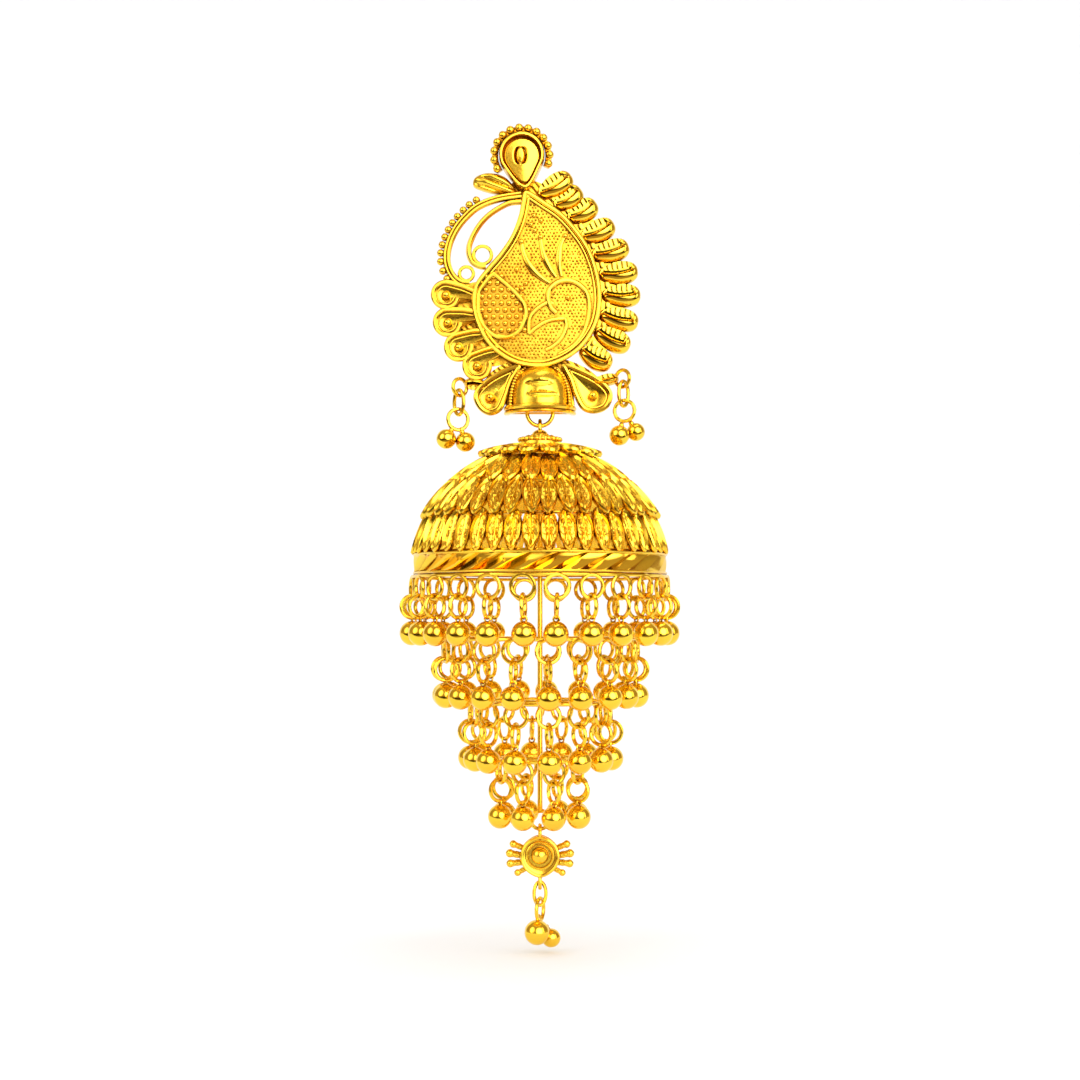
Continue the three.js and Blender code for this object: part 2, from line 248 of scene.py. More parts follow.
def inside(points, outline):
    x, y = points[:, 0], points[:, 1]
    hit = np.zeros(len(points), bool)
    for (x0, y0), (x1, y1) in zip(outline, np.roll(outline, -1, axis=0)):
        cross = (y0 > y) != (y1 > y)
        if y0 != y1:
            hit ^= cross & (x < (x1 - x0) * (y - y0) / (y1 - y0) + x0)
    return hit


def nearest(points, path):
    return np.min(np.linalg.norm(points[:, None] - path[None], axis=2), axis=1)


# ---- gold

goldTone = {
    "bright": (1.0, 0.68, 0.055),
    "warm": (0.95, 0.55, 0.045),
    "amber": (0.74, 0.37, 0.02),
    # deep is painted shade: goldFinish mixes it in where ambient occlusion finds recesses and creases
    "deep": (0.24, 0.07, 0.004),
}


def goldFinish(name, roughness, grainSize, grainDepth, recessShade=0.5, brushed=0.0, tones=("bright", "warm")):
    m = bpy.data.materials.new(name)
    m.use_nodes = True
    tree = m.node_tree
    nodes, link = tree.nodes, tree.links.new
    shader = nodes["Principled BSDF"]
    shader.inputs["Metallic"].default_value = 1.0
    place = nodes.new("ShaderNodeTexCoord")
    cloud = nodes.new("ShaderNodeTexNoise")
    cloud.inputs["Scale"].default_value = 260
    cloud.inputs["Detail"].default_value = 3
    link(place.outputs["Object"], cloud.inputs["Vector"])
    tone = nodes.new("ShaderNodeMix")
    tone.data_type = "RGBA"
    tone.inputs[6].default_value = (*goldTone[tones[0]], 1)
    tone.inputs[7].default_value = (*goldTone[tones[1]], 1)
    spread = nodes.new("ShaderNodeMapRange")
    spread.inputs["From Min"].default_value = 0.35
    spread.inputs["From Max"].default_value = 0.75
    link(cloud.outputs["Fac"], spread.inputs["Value"])
    link(spread.outputs["Result"], tone.inputs["Factor"])
    # painted shade: where ambient occlusion finds recesses, creases and gaps between parts, the base colour is
    # darkened towards the deep tone, by the finish's recess strength
    shade = nodes.new("ShaderNodeAmbientOcclusion")
    shade.samples = 4
    shade.inputs["Distance"].default_value = 0.6 * mm
    open_ = nodes.new("ShaderNodeMapRange")
    open_.inputs["From Min"].default_value = 0.3
    open_.inputs["From Max"].default_value = 0.85
    open_.inputs["To Min"].default_value = 1 - recessShade
    link(shade.outputs["AO"], open_.inputs["Value"])
    dark = nodes.new("ShaderNodeMix")
    dark.data_type = "RGBA"
    dark.inputs[6].default_value = (*goldTone["deep"], 1)
    link(open_.outputs["Result"], dark.inputs["Factor"])
    link(tone.outputs[2], dark.inputs[7])
    link(dark.outputs[2], shader.inputs["Base Color"])
    grain = nodes.new("ShaderNodeTexNoise")
    grain.inputs["Scale"].default_value = 1 / (grainSize * mm)
    grain.inputs["Detail"].default_value = 4
    stretch = nodes.new("ShaderNodeMapping")
    stretch.inputs["Scale"].default_value = (1, 1, 1 + 6 * brushed)
    link(place.outputs["Object"], stretch.inputs["Vector"])
    link(stretch.outputs["Vector"], grain.inputs["Vector"])
    rough = nodes.new("ShaderNodeMapRange")
    rough.inputs["To Min"].default_value = roughness * 0.7
    rough.inputs["To Max"].default_value = roughness * 1.4
    link(grain.outputs["Fac"], rough.inputs["Value"])
    link(rough.outputs["Result"], shader.inputs["Roughness"])
    dent = nodes.new("ShaderNodeBump")
    dent.inputs["Strength"].default_value = 0.6
    dent.inputs["Distance"].default_value = grainDepth * mm
    link(grain.outputs["Fac"], dent.inputs["Height"])
    link(dent.outputs["Normal"], shader.inputs["Normal"])
    return m


# the recess value of each finish sets how strongly its painted shade darkens recesses and creases
finishes = {
    "worked": goldFinish("workedGold", 0.2, 0.25, 0.012, recessShade=0.75),
    "matt": goldFinish("mattGold", 0.34, 0.12, 0.02, recessShade=0.85, tones=("warm", "amber")),
    "cut": goldFinish("cutGold", 0.1, 0.5, 0.004, recessShade=0.6),
    "bead": goldFinish("beadGold", 0.13, 0.6, 0.006, recessShade=0.5),
    "wire": goldFinish("wireGold", 0.18, 0.3, 0.008, recessShade=0.6, brushed=0.3),
}


def piece(name, part, finish, body, nodes, sharp=35):
    points, quads, tris = part
    mesh = bpy.data.meshes.new(name)
    mesh.vertices.add(len(points))
    mesh.vertices.foreach_set("co", (points * mm).ravel())
    loops = np.concatenate([quads.ravel(), tris.ravel()])
    starts = np.concatenate([np.arange(len(quads)) * 4, len(quads) * 4 + np.arange(len(tris)) * 3])
    mesh.loops.add(len(loops))
    mesh.loops.foreach_set("vertex_index", loops)
    mesh.polygons.add(len(starts))
    mesh.polygons.foreach_set("loop_start", starts)
    mesh.update(calc_edges=True)
    mesh.validate()
    mesh.shade_smooth()
    mesh.set_sharp_from_angle(angle=math.radians(sharp))
    obj = bpy.data.objects.new(name, mesh)
    bpy.context.scene.collection.objects.link(obj)
    mesh.materials.append(finishes[finish])
    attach(obj, body)
    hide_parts(*nodes)
    print(" ", name, len(quads) * 2 + len(tris), "triangles")
    return obj


# ---- plaque: teardrop frame and its field

teardrop = {
    "outline": [(-1.56, 6.8), (0.72, 5.56), (2.3, 4.45), (3.59, 3.06), (4.85, 1.3), (5.74, -0.76), (6.26, -3.1),
                (6.33, -5.05), (5.85, -7.2), (4.54, -9.24), (2.5, -10.75), (0, -11.5), (-2.6, -11.05),
                (-5.01, -9.47), (-6.5, -7.2), (-7.04, -4.82), (-6.68, -2.91), (-5.49, -1.24), (-4.06, 0.44),
                (-2.86, 2.3), (-2.14, 4.25), (-1.85, 5.69)],
    "centre": (-0.2, -4.0),
    "fieldDepth": 0.75,
    "crown": 0.25,
}
frameLine = evenPath(smoothPath(teardrop["outline"], 10, True), 220, True)


def fieldHeight(across, up):
    r = ((across + 0.2) / 7.0) ** 2 + ((up + 4.0) / 8.0) ** 2
    return teardrop["fieldDepth"] + teardrop["crown"] * np.clip(1 - r, 0, 1)


def onField(path, lift=0.0):
    path = np.asarray(path, float)
    return front(path, fieldHeight(path[:, 0], path[:, 1]) + lift)


def fieldSheet():
    rows = np.linspace(0.06, 1.0, 22)
    return relief(shifted(frameLine, 0.12), teardrop["centre"], rows, lambda q, x, z: fieldHeight(x, z))


def teardropFrame():
    parts = []
    for inset, depth, radius in ((0.2, 1.08, 0.26), (0.62, 1.0, 0.15), (0.3, 0.0, 0.2)):
        parts.append(tube(front(shifted(frameLine, inset), depth), radius, 10, True))
    return joined(parts)


stems = [
    {"path": [(-1.93, 1.5), (-1.6, 0.1), (-0.9, -1.2), (0.1, -2.2), (1.0, -2.78)], "swell": 0.26},
    {"path": [(0.06, 1.98), (0.2, 0.9), (0.6, -0.4), (1.1, -1.4), (1.65, -2.15)], "swell": 0.2},
    {"path": [(2.6, 2.1), (2.2, 1.3), (2.0, 0.3), (1.98, -0.9), (2.2, -2.05)], "swell": 0.2},
]
spiral = {
    "path": [(1.7, -5.83), (1.1, -5.2), (0.85, -4.3), (1.05, -3.4), (1.75, -2.72), (2.75, -2.5), (3.8, -2.75),
             (4.75, -3.6), (5.1, -4.9), (5.0, -6.4), (4.45, -8.0), (3.3, -9.3), (1.9, -10.1)],
    "eye": (2.87, -4.25),
}
leafCurves = [
    [(-1.15, -8.0), (-1.15, -7.0), (-0.85, -6.05), (-0.1, -5.25), (0.94, -4.75), (1.4, -4.9)],
    [(-1.15, -8.0), (-0.4, -7.35), (0.6, -6.75), (1.6, -6.5), (2.5, -6.45)],
    [(2.6, -6.4), (2.75, -7.1), (2.55, -7.9), (2.0, -8.7), (1.2, -9.35), (0.6, -9.65)],
]
paisley = [(-4.84, -1.85), (-5.7, -2.7), (-6.3, -3.7), (-6.42, -4.7), (-6.3, -6.1), (-5.6, -7.4), (-4.34, -8.3),
           (-3.0, -8.2), (-1.96, -7.4), (-1.46, -6.1), (-1.66, -4.9), (-2.35, -3.95), (-3.35, -2.95), (-3.95, -2.45)]
paisleyLine = evenPath(smoothPath(paisley, 8, True), 110, True)


def motif():
    parts = []
    for stem in stems:
        path = evenPath(smoothPath(stem["path"], 10), 36)
        along = np.linspace(0, 1, len(path))
        width = 0.18 + stem["swell"] * 0.8 * bump(along, 0.55, 0.28)
        parts.append(tube(onField(path, 0.14), width, 10, flat=0.9))
        parts.append(ball(onField(path[:1], 0.2)[0], 0.3))
    path = evenPath(smoothPath(spiral["path"], 10), 110)
    along = np.linspace(0, 1, len(path))
    parts.append(tube(onField(path, 0.16), 0.3 * (1 - 0.45 * along ** 3), 10))
    parts.append(ball(onField([spiral["eye"]], 0.15)[0], 0.28))
    for curve in leafCurves:
        path = evenPath(smoothPath(curve, 10), 40)
        parts.append(tube(onField(path, 0.14), 0.24, 10))
    parts.append(tube(onField(paisleyLine, 0.16), 0.27, 10, True))
    return joined(parts)


def stippled():
    dot = {"pitch": 0.37, "size": 0.13}
    rng = np.random.default_rng(7)
    x, z = np.meshgrid(np.arange(-8, 8, dot["pitch"]), np.arange(-12, 7, dot["pitch"] * 0.87))
    x = x + (np.arange(x.shape[0])[:, None] % 2) * dot["pitch"] / 2
    spots = np.column_stack([x.ravel(), z.ravel()]) + rng.uniform(-0.05, 0.05, (x.size, 2))
    keep = inside(spots, shifted(frameLine, 0.85)) & ~inside(spots, shifted(paisleyLine, -0.3))
    lines = [smoothPath(s["path"], 6) for s in stems] + [smoothPath(c, 6) for c in leafCurves]
    lines.append(smoothPath(spiral["path"], 6))
    keep &= nearest(spots, np.vstack(lines)) > 0.4
    spots = spots[keep]
    dome = ball((0, 0, 0), dot["size"], 4, 6)
    sizes = rng.uniform(0.8, 1.2, len(spots))
    at = onField(spots, -0.02)
    return joined([(dome[0] * s + p, dome[1], dome[2]) for s, p in zip(sizes, at)])


def granules():
    parts = []
    pitch = 0.8
    x, z = np.meshgrid(np.arange(-8, 0, pitch), np.arange(-9, -1, pitch * 0.87))
    x = x + (np.arange(x.shape[0])[:, None] % 2) * pitch / 2
    spots = np.column_stack([x.ravel(), z.ravel()])
    for spot in spots[inside(spots, shifted(paisleyLine, 0.42))]:
        parts.append(ball(onField([spot], 0.06)[0], 0.29, 8, 12))
    extra = [(-0.62, 4.26), (0.1, 3.74), (-0.94, 3.33), (-0.52, 2.7), (-2.4, -1.35), (-1.46, -2.8), (-1.87, -3.33)]
    for spot in extra:
        parts.append(ball(onField([spot], 0.05)[0], 0.26, 8, 12))
    return joined(parts)


# ---- plaque: pear setting with its arc of granules

pear = {"centre": (-1.89, 10.5), "radius": 2.36, "tip": (-1.52, 6.75), "granules": 13, "granule": 0.44}


def pearOutline(radius, tipLift=0.0, count=110):
    around = arcPath(pear["centre"], radius, -32, 212, 30)
    tip = np.array([pear["tip"]]) + (0, tipLift)
    return evenPath(smoothPath(np.vstack([tip, around[::3], around[-1:]]), 10, True), count, True)


def pearSetting():
    outline = pearOutline(pear["radius"])
    centre = (-1.85, 10.1)

    def height(q, x, z):
        plate = 1.15 + 0.25 * np.clip(1 - q, 0, 1)
        wall = 1.75 * step(q, 0.8, 0.86)
        outer = 1 - 0.3 * step(q, 0.95, 1.0)
        level = np.clip(1 - ((z - 10.4) / 0.95) ** 2, 0, 1)
        eye = np.abs(x + 2.02) - 0.52 * np.sqrt(level)
        dip = 0.42 * bump(eye, 0.0, 0.13) * step(level, 0.0, 0.35) - 0.12 * (eye < 0) * step(level, 0.0, 0.5)
        groove = 0.3 * bump(q, 0.8, 0.035)
        return np.where(q < 0.84, plate - dip - groove, np.maximum(plate, wall) * outer)

    rows = np.r_[np.linspace(0.02, 0.74, 34), 0.765, 0.785, 0.8, 0.815, 0.83, 0.845, 0.87, 0.9, 0.93, 0.96, 1.0]
    parts = [relief(outline, centre, rows, height)]
    reach = pear["radius"] + 0.52
    for angle in np.linspace(-17, 208, pear["granules"]):
        a = math.radians(angle)
        centreAt = (pear["centre"][0] + reach * math.cos(a), -0.75, pear["centre"][1] + reach * math.sin(a))
        parts.append(ball(centreAt, pear["granule"], 10, 16))
    parts.append(tube(front(arcPath(pear["centre"], reach - 0.1, -25, 216, 40), 0.45), 0.34, 8))
    return joined(parts)


# ---- plaque: open scroll on the left

scroll = {
    "outer": [(-1.95, 6.45), (-4.6, 6.0), (-6.59, 5.17), (-7.8, 4.1), (-8.66, 3.02), (-9.4, 1.5), (-9.69, 0),
              (-9.5, -1.2), (-8.9, -2.2), (-8.1, -2.75), (-7.3, -2.85)],
    "inner": [(-1.95, 5.75), (-3.2, 5.6), (-4.52, 4.93), (-5.5, 4.2), (-6.27, 3.34), (-7.0, 2.1), (-7.38, 0.94),
              (-7.3, 0.1), (-6.95, -0.55), (-6.2, -0.95), (-5.6, -1.0)],
    "curls": [{"centre": (-7.62, -1.77), "radius": 0.72}, {"centre": (-5.95, 0.16), "radius": 0.92}],
    "granules": 12,
}


def openScroll():
    parts = []
    for key, wires in (("outer", ((-0.2, 1.0, 0.2), (0.16, 0.95, 0.16))), ("inner", ((0.0, 0.95, 0.2),))):
        path = evenPath(smoothPath(scroll[key], 8), 90)
        for inset, depth, radius in wires:
            parts.append(tube(front(shifted(path, inset, False), depth), radius, 10))
        parts.append(tube(front(path, 0.5), 0.42 if key == "outer" else 0.3, 8, flat=1.1))
    for curl in scroll["curls"]:
        centre, radius = curl["centre"], curl["radius"]
        parts.append(ring((centre[0], -0.85, centre[1]), radius, 0.38, 0, 1, 10, 32))
    path = evenPath(smoothPath(scroll["outer"], 8), 200)
    edge = shifted(path, 0.62, False)
    for share in np.linspace(0.3, 0.86, scroll["granules"]):
        at = edge[int(share * (len(edge) - 1))]
        parts.append(ball((at[0], -0.7, at[1]), 0.4, 10, 14))
    return joined(parts)


# ---- plaque: ten petals on the right, four curled ones and a shell on the left

rightPetals = [
    (-0.2, 6.3, 4.1, 32), (1.5, 5.1, 3.4, 35), (2.9, 3.8, 3.5, 32), (4.2, 1.8, 3.9, 26), (5.3, 0.0, 4.1, 17),
    (6.0, -1.9, 4.2, 7), (6.35, -3.95, 4.1, 0), (6.1, -5.9, 4.2, -13), (5.6, -7.6, 4.1, -25), (4.1, -9.6, 3.7, -26),
]


def cutPetal(length, width=2.5, back=0.1):
    # along runs from the root to the tip, side from the lower edge (-1) to the upper edge (+1)
    a = np.linspace(0, tau, 96, endpoint=False)
    along = 0.5 * length * (1 + np.sign(np.cos(a)) * np.abs(np.cos(a)) ** 0.8)
    side = 0.5 * width * np.sign(np.sin(a)) * np.abs(np.sin(a)) ** 0.8 * (0.74 + 0.26 * step(along / length, 0.0, 0.6))
    outline = np.column_stack([along, side])

    def height(q, x, z):
        s, t = x / length, z / (0.5 * width)
        body = 0.3 + 1.05 * np.sqrt(np.clip(1 - q ** 2.8, 0, 1))
        bow = 0.34 * (1 - ((s - 0.5) / 0.5) ** 2)
        crease = t - (0.12 - bow)
        leaf = (crease > 0) & (s > 0.06) & (s < 0.9)
        floor = 0.62 + 0.1 * step(crease, 0.0, 0.5) - 0.28 * bump(crease, 0.02, 0.09)
        ridge = 0.035 * np.sin(s * length * 12) * step(crease, 0.42, 0.7)
        ends = step(s, 0.04, 0.14) * (1 - step(s, 0.8, 0.92))
        cut = body + (np.minimum(body, floor + ridge) - body) * ends
        return np.where(leaf, cut, body)

    rows = np.r_[np.linspace(0.03, 0.9, 34), 0.93, 0.96, 0.985, 1.0]
    return relief(outline, (0.5 * length, 0.0), rows, height, back)


def onPlaque(part, across, up, degrees):
    return moved(part, turnY(-degrees), (across, 0, up))


def petalsRight():
    parts = []
    for k, (u, v, length, turn) in enumerate(rightPetals):
        parts.append(onPlaque(cutPetal(length, back=0.06 + 0.05 * (k % 2)), u, v, turn))
        if k:
            # a stepped web fills the root between two petals
            u0, v0, _, turn0 = rightPetals[k - 1]
            mid = ((u + u0) / 2, (v + v0) / 2, (turn + turn0) / 2)
            web = relief([(0.1, -0.75), (0.1, 0.75), (1.5, 0.5), (2.3, 0.25), (2.3, -0.25), (1.5, -0.5)], (1.0, 0),
                         [0.5, 1.0], lambda q, x, z: 0.42 + 0 * q, 0.16)
            parts.append(onPlaque(web, *mid))
            knob = relief([(0.5, -0.3), (0.5, 0.3), (1.0, 0.3), (1.0, -0.3)], (0.75, 0), [0.6, 1.0],
                          lambda q, x, z: 0.75 - 0.1 * q, 0.2)
            parts.append(onPlaque(knob, *mid))
    return joined(parts)


curledPetals = [
    {"ball": (-9.75, -3.95), "root": (-6.5, -4.6), "bend": 0.5},
    {"ball": (-9.55, -6.8), "root": (-6.2, -6.6), "bend": 0.5},
    {"ball": (-8.4, -9.36), "root": (-5.3, -8.4), "bend": 0.5},
    {"ball": (-6.5, -11.3), "root": (-3.7, -10.1), "bend": 0.5},
]


def dish(outline, centre, depth=0.75, rim=0.16, hollow=0.3, back=0.04):
    rows = np.r_[np.linspace(0.05, 0.9, 12), 0.96, 1.0]
    body = relief(outline, centre, rows, lambda q, x, z: depth - hollow * (1 - q ** 2), back)
    edge = tube(front(shifted(outline, 0.1), depth + 0.08), rim, 8, True)
    return [body, edge]


def curledOutline(petal, radius=1.4):
    ballAt, root = np.array(petal["ball"]), np.array(petal["root"])
    out = (ballAt - root) / np.linalg.norm(ballAt - root)
    facing = math.degrees(math.atan2(out[1], out[0]))
    around = arcPath(ballAt, radius, facing + 150, facing - 80, 16)
    side = np.array([-out[1], out[0]])
    tail = [root - side * 0.95, root - side * 0.25 - out * 0.4, root + side * 0.1 + out * 0.6]
    return evenPath(smoothPath(np.vstack([around, tail]), 8, True), 110, True)


def curledRim(petal, radius=1.32):
    # the rim wire sweeps in from the frame, round the dish and back under its own tail
    ballAt, root = np.array(petal["ball"]), np.array(petal["root"])
    out = (ballAt - root) / np.linalg.norm(ballAt - root)
    facing = math.degrees(math.atan2(out[1], out[0]))
    side = np.array([-out[1], out[0]])
    around = arcPath(ballAt, radius, facing - 95, facing + 175, 20)
    start = [root - side * 0.9 + out * 0.2, ballAt - out * 1.7 - side * 1.2]
    return evenPath(smoothPath(np.vstack([start, around]), 6), 90)


def petalsLeft():
    parts = []
    for k, petal in enumerate(curledPetals):
        outline = curledOutline(petal)
        parts.append(dish(outline, petal["ball"], 0.9, 0.17, 0.4, 0.05 + 0.05 * (k % 2))[0])
        parts.append(tube(front(curledRim(petal), 1.0), 0.24, 10))
        parts.append(tube(front(shifted(curledRim(petal), -0.42, False), 0.72), 0.09, 6))
        parts.append(ball((petal["ball"][0], -0.8, petal["ball"][1]), 0.42, 12, 18))
    shell = smoothPath([(-2.4, 6.6), (-3.6, 8.3), (-5.4, 8.75), (-6.8, 8.2), (-6.9, 7.4), (-5.9, 6.9), (-4.0, 6.5)],
                       8, True)
    shell = evenPath(shell, 80, True)

    def folds(q, x, z):
        rib = np.abs(np.sin((z - 6.6) * 3.4 + (x + 4) * 1.3))
        return 0.45 + 0.85 * np.sqrt(np.clip(1 - q ** 2.5, 0, 1)) * (0.62 + 0.38 * rib)

    parts.append(relief(shell, (-4.9, 7.6), np.linspace(0.05, 1, 26), folds, 0.08))
    return joined(parts)


# ---- plaque: bell with its two wings and the loops for the side drops

bell = {"top": -11.35, "lipTop": -15.45, "lipBottom": -16.35, "radius": 3.3, "lipRadius": 3.78}


def lotusBell():
    side = smoothPath([(0.01, -11.3), (1.3, -11.36), (2.1, -11.75), (2.75, -12.5), (3.12, -13.5), (3.28, -14.5),
                       (3.32, -15.35)], 8)
    low, wall = bell["lipBottom"], 0.35
    lip = [(3.5, -15.42), (3.72, -15.5), (3.8, -15.7), (3.72, -15.92), (3.6, -15.98), (3.72, -16.05), (3.78, -16.2),
           (3.66, low)]
    inner = [(3.2, low), (3.32 - wall, -15.4), (3.05 - wall, -13.7), (2.2, -13.2), (0.01, -13.2)]
    shell = lathe(np.vstack([side, lip, inner, side[:1]]), 96, 180, 360)
    points = shell[0].copy()
    for (u, v, long, tall, deep) in ((-0.1, -13.25, 1.5, 0.3, 0.2), (0.25, -14.45, 1.7, 0.34, 0.26)):
        lens = ((points[:, 0] - u) / long) ** 2 + (np.abs(points[:, 2] - v) / tall) ** 1.4
        hit = (lens < 1) & (points[:, 1] < -2)
        points[hit, 1] += deep * (1 - lens[hit]) ** 0.5
    parts = [(points, shell[1], shell[2])]
    backLine = [(-3.3, -16.25), (-3.3, -14), (-2.7, -12.3), (-1.5, -11.3), (1.5, -11.3), (2.7, -12.3), (3.3, -14),
                (3.3, -16.25)]
    parts.append(relief(backLine, (0, -14), [0.5, 1.0], lambda q, x, z: 0.5 + 0 * q, 0.02))
    for sign in (-1, 1):
        path = smoothPath([(1.7 * sign, -11.55), (2.5 * sign, -12.2), (3.05 * sign, -13.3), (3.3 * sign, -14.4),
                           (3.4 * sign, -15.4)], 6)
        for at in evenPath(path, 15):
            parts.append(ball((at[0] * 0.9, -0.5 * abs(at[0]), at[1]), 0.19, 6, 8))
        parts.append(tube(front(path, 0.6), 0.2, 8))
    loopZ = -15.48 + 0.85
    parts.append(ring((0, -1.8, loopZ), 0.85, 0.4, 90, 1.25))
    return joined(parts)


wings = [
    {
        "side": -1,
        "outline": [(-2.1, -11.3), (-4.4, -12.1), (-6.2, -13.4), (-6.75, -14.5), (-6.2, -15.75), (-5.2, -16.3),
                    (-4.2, -15.95), (-3.5, -14.6), (-2.9, -12.9)],
        "ball": (-5.14, -14.55),
        "leaf": (-5.3, -13.3, 2.6, 174),
        "loop": (-8.3, -13.5),
    },
    {
        "side": 1,
        "outline": [(2.4, -11.2), (4.6, -11.9), (6.6, -13.1), (7.38, -14.3), (6.9, -15.6), (5.7, -16.1),
                    (4.5, -15.8), (3.7, -14.5), (3.1, -12.8)],
        "ball": (5.48, -14.35),
        "leaf": (5.5, -12.9, 2.7, 8),
        "loop": (8.55, -12.6),
    },
]


def wingPieces():
    parts = []
    for wing in wings:
        outline = evenPath(smoothPath(wing["outline"], 8, True), 80, True)
        if wing["side"] < 0:
            outline = outline[::-1]  # the same way round as the right wing
        parts += dish(outline, wing["ball"], 0.85, 0.26, 0.45)
        parts.append(tube(front(shifted(outline, 0.5), 0.72), 0.1, 6, True))
        parts.append(ball((wing["ball"][0], -0.9, wing["ball"][1]), 0.42, 12, 18))
        u, v, length, turn = wing["leaf"]
        parts.append(onPlaque(cutPetal(length, 1.3, 0.14), u, v, turn))
        parts.append(ring((wing["loop"][0], -0.7, wing["loop"][1]), 0.88, 0.4, -40 * wing["side"]))
    return joined(parts)


# ---- plaque: thin sheets that tie the pieces together from behind

webs = [
    {"outline": [(-3.3, 5.9), (-2.9, 7.7), (-0.5, 7.9), (1.2, 6.9), (1.3, 5.2), (-1.4, 5.9)], "centre": (-1.2, 6.7)},
    {"outline": [(-5.0, -2.6), (-9.3, -3.7), (-9.4, -6.9), (-8.3, -9.3), (-6.3, -11.2), (-3.0, -10.6), (-4.5, -6.5)],
     "centre": (-6.8, -6.8)},
    {"outline": [(-1.0, -11.0), (-2.6, -10.6), (-5.6, -12.6), (-3.3, -14.2)], "centre": (-3.1, -12.1)},
    {"outline": [(1.0, -11.0), (2.6, -10.6), (6.0, -12.6), (3.3, -14.2)], "centre": (3.2, -12.1)},
]


def backSheets():
    parts = []
    for web in webs:
        outline = evenPath(smoothPath(web["outline"], 6, True), 60, True)
        flutes = lambda q, x, z: 0.42 + 0.05 * np.sin(x * 9 + z * 7)
        parts.append(relief(outline, web["centre"], np.linspace(0.1, 1, 16), flutes, 0.17))
    return joined(parts)


print("plaque")
plaqueNodes = ["plaque"]
piece("fieldSheet", fieldSheet(), "matt", "root", plaqueNodes)
piece("teardropFrame", teardropFrame(), "worked", "root", plaqueNodes)
piece("fieldMotif", motif(), "worked", "root", plaqueNodes)
piece("fieldStipple", stippled(), "worked", "root", plaqueNodes)
piece("fieldGranules", granules(), "bead", "root", plaqueNodes)
piece("pearSetting", pearSetting(), "worked", "root", plaqueNodes)
piece("openScroll", openScroll(), "worked", "root", plaqueNodes)
piece("petalsRight", petalsRight(), "cut", "root", plaqueNodes)
piece("petalsLeft", petalsLeft(), "worked", "root", plaqueNodes)
piece("lotusBell", lotusBell(), "worked", "root", plaqueNodes)
piece("bellWings", wingPieces(), "worked", "root", plaqueNodes)
piece("backSheets", backSheets(), "matt", "root", plaqueNodes)


# ---- ear post

def earPost():
    low, high = corners("ear_post")
    y0, y1, r = low[1], high[1], (high[0] - low[0]) / 2
    profile = [(0.01, y0), (1.6, y0), (1.6, y0 + 0.3), (1.5, y0 + 0.4), (0.6, y0 + 0.5), (0.45, y0 + 0.7),
               (0.45, 5.15), (r - 0.5, 5.15), (r - 0.1, 5.3), (r, 5.6), (r, 7.0), (r - 0.1, 7.25), (r - 0.5, 7.4),
               (0.9, 7.4), (0.8, 7.7), (0.45, 7.75), (0.45, y1 - 0.3), (0.3, y1 - 0.05), (0.01, y1)]
    post = lathe([(a, b) for a, b in profile], 48)
    points = post[0].copy()
    away = np.hypot(points[:, 0], points[:, 1])
    angle = np.arctan2(points[:, 1], points[:, 0])
    rim = (away > r - 0.2) & (points[:, 2] > 5)
    points[rim, :2] *= (1 - 0.03 * (np.round(angle[rim] / tau * 48) % 2))[:, None]
    return moved((points, post[1], post[2]), turnX(-90))


print("ear post")
piece("earPost", earPost(), "wire", "root", ["ear_post"])


# ---- links and small drops

def beadPair(node, ringAt, ringRadius, ringTurn, balls):
    parts = [ring(ringAt, ringRadius, 0.4, ringTurn)]
    for at, radius in balls:
        at = np.array(at)
        toRing = np.array(ringAt) - at
        toRing /= np.linalg.norm(toRing)
        parts.append(ball(at, radius, 20, 32))
        parts.append(ball(at + toRing * (radius + 0.05), 0.28, 8, 12))
        parts.append(ring(at + toRing * (radius + 0.25), 0.24, 0.18, 60, 1, 8, 16))
    return joined(parts)


sideDrops = [
    {"name": "left", "side": -1, "loop": wings[0]["loop"],
     "balls": [(-1.2, -2.05, -0.3, 1.03), (0.75, -2.3, 0.3, 1.03)]},
    {"name": "right", "side": 1, "loop": wings[1]["loop"],
     "balls": [(-0.55, -2.6, -0.5, 1.05), (1.2, -2.15, 0.45, 0.95)]},
]
for d in sideDrops:
    play, halfLink = 0.2, 0.75 * 1.72
    linkZ = d["loop"][1] - 0.88 + 0.4 + play - halfLink
    ringZ = linkZ - halfLink + 0.4 + play - 1.08
    linkX, ringX = d["loop"][0] + 0.1 * d["side"], d["loop"][0] + 0.2 * d["side"]
    link = ring((linkX, -0.7, linkZ), 0.75, 0.4, 48 * d["side"], 1.72)
    piece(d["name"] + "DropLink", link, "wire", "root", [d["name"] + "_drop_link"])
    balls = [((ringX + u, -0.7 + y, ringZ + v), r) for u, v, y, r in d["balls"]]
    pair = beadPair(d["name"], (ringX, -0.7, ringZ), 1.08, -20 * d["side"], balls)
    piece(d["name"] + "DropBeads", pair, "bead", "root", [d["name"] + "_drop_beads"])

low, high = corners("hang_link")
hangAt = (low + high) / 2
piece("hangLink", ring(hangAt, (high[2] - low[2]) / 2 - 0.2, 0.42, 0, 1, 14, 64), "wire", "link", ["hang_link"])


# ---- dome: leaf rows, band and finial

